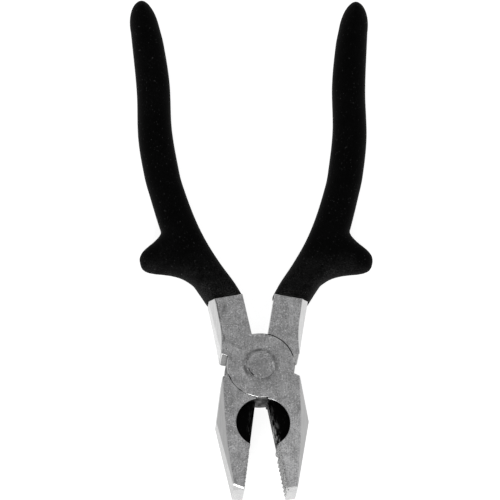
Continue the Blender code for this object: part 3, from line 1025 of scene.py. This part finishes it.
def scale_and_shaded_walls(nodes, at, colour):
    """Scale and painted shade on the shoulders' walls, and a darker, patchy painted shade inside the
    lap. Also returns the lap.
    """
    near = nodes.math("LESS_THAN", at.from_axis, SHOULDER_R)
    shoulder = nodes.math("MULTIPLY", at.upright, near)
    near = nodes.math("LESS_THAN", at.from_axis, RECESS_R + 0.1)
    lap = nodes.math("MULTIPLY", at.upright, near)
    # walls by the disc painted dark: scale and painted shade
    scale = nodes.remap(nodes.noise(900, 4, 0.7), 0.38, 0.62, 0.15, 0.28)
    colour = nodes.mix(shoulder, colour, nodes.as_grey(scale))
    # painted shade in the lap between the two halves
    patchy = nodes.remap(nodes.noise(330, 3, 0.6), 0.4, 0.6, 0.02, 0.17)
    return nodes.mix(lap, colour, nodes.as_grey(patchy)), lap


def shaded_closing_face(nodes, at, colour):
    """A crumbled darker tone on the cutting edge and the teeth: painted shade on the closing face and
    in the teeth's grooves. Also returns where they are.
    """
    region = nodes.math("MULTIPLY", at.upright, nodes.math("LESS_THAN", at.x, CLOSING_DEPTH_X))
    region = nodes.math("MULTIPLY", region, nodes.math("LESS_THAN", at.y, CUTTER_TOP_Y))
    region = nodes.math("MULTIPLY", region, nodes.math("GREATER_THAN", at.y, TIP_Y + 0.4))
    # painted shade, broken up into crumbs
    worn = nodes.remap(at.crumbs, 0.42, 0.56, 0.05, 0.75)
    return nodes.mix(region, colour, nodes.as_grey(worn)), region


def oxide_in_scoops(nodes, at, colour, is_rear):
    """Black oxide in the scoops, rubbed bright near the cutting edge, and a rim round them darkened
    with painted shade.
    """
    from_rim = nodes.math("SUBTRACT", nodes.distance(at.place_mm, SCOOP_CENTRE), SCOOP_R)
    inside = nodes.math("LESS_THAN", from_rim, 0.04)
    from_middle = nodes.math("ABSOLUTE", nodes.math("SUBTRACT", at.z, MIDDLE))
    sunk = nodes.math("LESS_THAN", from_middle, MIDDLE - SCOOP_RIM - 0.02)
    oxide = nodes.math("MULTIPLY", inside, sunk)
    on_rim = nodes.math("LESS_THAN", nodes.math("ABSOLUTE", from_rim), SCOOP_RIM + 0.03)
    on_rim = nodes.math("MULTIPLY", on_rim, nodes.math("LESS_THAN", at.facing, 0.95))
    # painted shade on the rim's chamfer, which would otherwise show a bright arc
    colour = nodes.mix(on_rim, colour, grey(0.24))
    near_edge = nodes.remap(at.x, *EDGE_RUB_X, 1.0, 0.0)
    low_end = nodes.remap(at.y, *EDGE_RUB_Y, 0.15, 0.1 if is_rear else 1.0)
    near_edge = nodes.math("MULTIPLY", near_edge, low_end)
    bright = nodes.remap(at.streaks, 0.52, 0.62, 0.0, 0.6)
    bright = nodes.math("MULTIPLY", bright, near_edge)
    bright = nodes.math("MAXIMUM", bright, nodes.remap(at.crumbs, 0.64, 0.78, 0.003, 0.05))
    return nodes.mix(oxide, colour, nodes.as_grey(bright)), oxide


def shade_beside_teeth(nodes, at, colour):
    """Painted shade from the teeth's grooves, spilling onto the faces beside them."""
    # painted shade where the grooves open onto the face
    teeth_shade = nodes.remap(at.crumbs, 0.52, 0.6, 0.0, 0.9)
    teeth_shade = nodes.math("MULTIPLY", teeth_shade, nodes.remap(at.x, *TEETH_SHADE_X, 1.0, 0.0))
    teeth_shade = nodes.math("MULTIPLY", teeth_shade, nodes.math("LESS_THAN", at.y, NOTCH_Y + 1))
    teeth_shade = nodes.math("MULTIPLY", teeth_shade, nodes.math("GREATER_THAN", at.y, TIP_Y + 2))
    return nodes.mix(teeth_shade, colour, grey(0.03))


def shaded_disc_rim(nodes, at, colour):
    """The disc's chamfer: dark with painted shade, broken by bright dashes."""
    on_chamfer = nodes.math("LESS_THAN", at.facing, 0.9)
    sloped = nodes.math("GREATER_THAN", at.facing, WALL_FACING)
    on_chamfer = nodes.math("MULTIPLY", on_chamfer, sloped)
    beyond = nodes.math("SUBTRACT", at.from_axis, DISC_R - DISC_RIM / 2)
    near = nodes.math("LESS_THAN", nodes.math("ABSOLUTE", beyond), 0.3)
    on_chamfer = nodes.math("MULTIPLY", on_chamfer, near)
    # painted shade that breaks the chamfer's reflection into dashes
    dashes = nodes.remap(nodes.noise(270, 3, 0.6), 0.44, 0.56, 0.02, 0.42)
    return nodes.mix(on_chamfer, colour, nodes.as_grey(dashes))


def shade_round_rivet(nodes, at, colour):
    """A soft dark ring of painted shade in the dish round the rivet's head."""
    # painted shade in the dish
    ring = nodes.math("ABSOLUTE", nodes.math("SUBTRACT", at.from_axis, SHADE_RING_R))
    ring = nodes.remap(ring, 0.1, 0.95, 1.0, 0.0, True)
    cloud = nodes.remap(nodes.noise(260, 3, 0.6), 0.42, 0.58, 0.3, 0.9)
    return nodes.mix(nodes.math("MULTIPLY", ring, cloud), colour, grey(0.15))


def scuffed_shank_edge(nodes, at, colour):
    """A thin broken scuff on the shank's face beside its bevel."""
    beside = nodes.math("ABSOLUTE", nodes.math("SUBTRACT", at.x, SHANK_SCUFF_X))
    beside = nodes.remap(beside, 0.1, 0.55, 0.8, 0.0, True)
    beside = nodes.math("MULTIPLY", beside, nodes.math("GREATER_THAN", at.y, SHANK_SCUFF_FROM_Y))
    broken = nodes.remap(at.streaks, 0.47, 0.56, 0.0, 1.0)
    return nodes.mix(nodes.math("MULTIPLY", beside, broken), colour, grey(0.16))


def steel_material(name, is_rear, turn_deg, tip_tone):
    """Ground steel with black oxide left in the cutter's scoops, and scale and painted shade on the
    walls round the lap.
    """
    nodes = Nodes(name)
    at = surface_facts(nodes, is_rear, turn_deg)
    colour, rough, normal = ground_steel(nodes, turn_deg, FORGING_TONES)
    colour = nodes.scaled(colour, nodes.remap(at.y, *TIP_TONE_Y, 1.0, tip_tone, True))
    # painted highlights and darker streaks
    colour = highlights_and_streaks(nodes, at.place_mm, colour, is_rear)
    on_facet = nodes.remap(at.facing, 0.88, 0.96, 1.0, 0.0, True)
    colour = nodes.mix(on_facet, colour, ground_facet(nodes, at.y, turn_deg))
    colour, lap = scale_and_shaded_walls(nodes, at, colour)
    # painted shade on the closing face and in the teeth's grooves
    colour, on_closing = shaded_closing_face(nodes, at, colour)
    colour, oxide = oxide_in_scoops(nodes, at, colour, is_rear)
    colour = shade_beside_teeth(nodes, at, colour)
    colour = shaded_disc_rim(nodes, at, colour)
    colour = shade_round_rivet(nodes, at, colour)
    if not is_rear:
        colour = scuffed_shank_edge(nodes, at, colour)
    dull = nodes.math("MAXIMUM", nodes.math("MAXIMUM", oxide, lap), on_closing)
    rough = nodes.math("MULTIPLY_ADD", dull, 0.25, rough)
    return nodes.finish(colour, rough, normal, 1.0)


def rivet_material():
    """The rivet's head: the same ground steel, with painted shade in the crease that peening left and
    round the head's edge.
    """
    nodes = Nodes("rivet_steel_ground")
    place_mm = nodes.half_frame(False, 0)
    colour, rough, normal = ground_steel(nodes, RIVET_BRUSH_DEG, RIVET_TONES)
    from_axis = nodes.distance(place_mm, (0, 0))
    crease = nodes.math("ABSOLUTE", nodes.math("SUBTRACT", from_axis, CREASE_R))
    crease = nodes.remap(crease, 0.08, 0.4, 1.0, 0.0, True)
    lower_left = nodes.distance(place_mm, DARKEST_CREASE_SIDE)
    darkest_side = nodes.remap(lower_left, 1.5, 5.0, 1.0, 0.25, True)
    crease = nodes.math("MULTIPLY", crease, darkest_side)
    rim = nodes.remap(from_axis, RIVET_HEAD_R - 0.7, RIVET_HEAD_R - 0.2, 0.0, 0.5, True)
    patch = nodes.remap(nodes.noise(500, 3, 0.6), 0.42, 0.56, 0.1, 1.0)
    # painted shade in the crease and round the head's edge, broken into patches
    crease_and_rim_shade = nodes.math("MULTIPLY", nodes.math("MAXIMUM", crease, rim), patch)
    colour = nodes.mix(crease_and_rim_shade, colour, grey(0.02))
    return nodes.finish(colour, rough, normal, 1.0)


def pvc_material():
    """Matte black PVC: a fine moulded grain, dust near the mouth and scattered pale specks."""
    nodes = Nodes("black_pvc_moulded")
    grain = nodes.noise(2600, 2, 0.65)
    swell = nodes.noise(140, 3, 0.5)
    y = nodes.axis(nodes.place(), "Y")
    dusty_to, clean_from = (PIVOT.y + along_y * MM for along_y in DUST_Y)
    handled = nodes.remap(y, dusty_to, clean_from, 1.0, 0.1, True)
    cloud = nodes.remap(nodes.noise(90, 4, 0.65), 0.4, 0.65, 0.25, 1.0)
    dust = nodes.math("MULTIPLY", nodes.math("MULTIPLY", handled, cloud), 0.9)
    dust = nodes.math("MULTIPLY", dust, nodes.remap(grain, 0.44, 0.62, 0.05, 1.0))
    speck = nodes.remap(nodes.noise(1700, 1, 0.5), 0.69, 0.76, 0.0, 0.4)
    colour = nodes.mix(dust, grey(0.0004), grey(0.03))
    colour = nodes.mix(speck, colour, grey(0.07))
    rough = nodes.remap(grain, 0.3, 0.7, 0.5, 0.68)
    fine = nodes.bump(grain, 0.4, 0.00006)
    normal = nodes.bump(swell, 0.15, 0.0004, fine)
    nodes.shader.inputs["Specular IOR Level"].default_value = 0.025
    return nodes.finish(colour, rough, normal, 0.0)


# ---------------------------------------------------------------- the object


def add_piece(piece, material, node, body):
    """Gives a piece its material, hangs it under its body and hides the CAD part that it stands in for.
    """
    piece.data.materials.clear()
    piece.data.materials.append(material)
    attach(piece, body)
    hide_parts(node)


def build_halves():
    """Each half's forging and grip, built the same way and turned open."""
    pvc = pvc_material()
    halves = (
        ("front", FRONT_JAW_DEG, FRONT_NOSE_DEG, FRONT_OPEN_DEG, False, "left", FRONT_TIP_TONE),
        ("rear", REAR_JAW_DEG, REAR_NOSE_DEG, -REAR_OPEN_DEG, True, "right", REAR_TIP_TONE),
    )
    for side, jaw_deg, nose_deg, open_deg, is_rear, hand, tip_tone in halves:
        body = f"{side}_half"
        # The jaw's own lean runs the other way once the rear half is turned over
        turn = open_deg - jaw_deg if is_rear else open_deg + jaw_deg
        steel = steel_material(f"{side}_steel_ground", is_rear, turn, tip_tone)
        forging = make_forging(f"{side}_forging_ground", jaw_deg, nose_deg, is_rear)
        grip = make_grip(f"{hand}_grip_moulded")
        for piece in (forging, grip):
            place(piece, open_deg, is_rear)
        add_piece(forging, steel, f"{side}_forging", body)
        add_piece(grip, pvc, f"{hand}_grip", body)


def build_rivet():
    rivet = make_rivet()
    place(rivet, 0, False)
    add_piece(rivet, rivet_material(), "pivot_rivet", "rear_half")


# ---------------------------------------------------------------- stage, light and camera


def make_floor():
    """A pale floor that glows a little, so that it stays nearly white round the tool."""
    floor_z = CAD_BOX[0].z - FLOOR_GAP
    bpy.ops.mesh.primitive_plane_add(size=FLOOR_SIZE, location=(0, 0, floor_z))
    floor = bpy.context.object
    floor.name = "floor"
    material = bpy.data.materials.new("pale_floor")
    material.use_nodes = True
    shader = material.node_tree.nodes["Principled BSDF"]
    shader.inputs["Base Color"].default_value = (FLOOR_TONE, FLOOR_TONE, FLOOR_TONE, 1)
    shader.inputs["Roughness"].default_value = 1.0
    shader.inputs["Specular IOR Level"].default_value = 0.0
    shader.inputs["Emission Color"].default_value = (1, 1, 1, 1)
    shader.inputs["Emission Strength"].default_value = FLOOR_GLOW
    floor.data.materials.append(material)


def make_world():
    """A soft surround: bright near the horizon and darker overhead."""
    world = bpy.data.worlds.new("studio")
    bpy.context.scene.world = world
    world.use_nodes = True
    tree = world.node_tree
    background = tree.nodes["Background"]
    coordinates = tree.nodes.new("ShaderNodeTexCoord")
    split = tree.nodes.new("ShaderNodeSeparateXYZ")
    ramp = tree.nodes.new("ShaderNodeValToRGB")
    tree.links.new(coordinates.outputs["Generated"], split.inputs[0])
    tree.links.new(split.outputs["Z"], ramp.inputs[0])
    tree.links.new(ramp.outputs[0], background.inputs["Color"])
    stops = ramp.color_ramp.elements
    for _ in WORLD_STOPS[2:]:
        stops.new(0.5)
    for stop, (position, tone) in zip(stops, WORLD_STOPS):
        stop.position, stop.color = position, (tone, tone, tone, 1)
    background.inputs["Strength"].default_value = WORLD_STRENGTH


def make_light(name, place_m, size, power):
    """A round lamp that faces the scene's origin and isn't seen itself."""
    data = bpy.data.lights.new(name, "AREA")
    data.shape = "DISK"
    data.size = size
    data.energy = power
    light = bpy.data.objects.new(name, data)
    light.location = place_m
    light.rotation_euler = (-Vector(place_m)).to_track_quat("-Z", "Y").to_euler()
    light.visible_camera = False
    bpy.context.scene.collection.objects.link(light)


def make_camera():
    """A long lens from the jaws' side, a little from the left, looking down on the open tool."""
    back = Vector((ASIDE, -math.sin(math.radians(TILT_DEG)), 0))
    back.z = math.sqrt(1 - back.length_squared)
    right = (Vector((1, 0, 0)) - back * back.x).normalized()
    up = back.cross(right)
    camera = bpy.data.objects.new("camera", bpy.data.cameras.new("camera"))
    camera.data.lens = LENS
    camera.data.sensor_width = SENSOR
    camera.data.clip_end = 50
    turn = Matrix((right, up, back)).transposed().to_4x4()
    eye = Vector(TARGET) + back * (SEEN_WIDTH * LENS / SENSOR)
    camera.matrix_world = Matrix.Translation(eye) @ turn
    bpy.context.scene.collection.objects.link(camera)
    bpy.context.scene.camera = camera


def main():
    build_halves()
    build_rivet()
    make_floor()
    make_world()
    make_light("key", KEY_PLACE, KEY_SIZE, KEY_POWER)
    make_camera()
    bpy.context.scene.view_settings.view_transform = "Standard"


main()
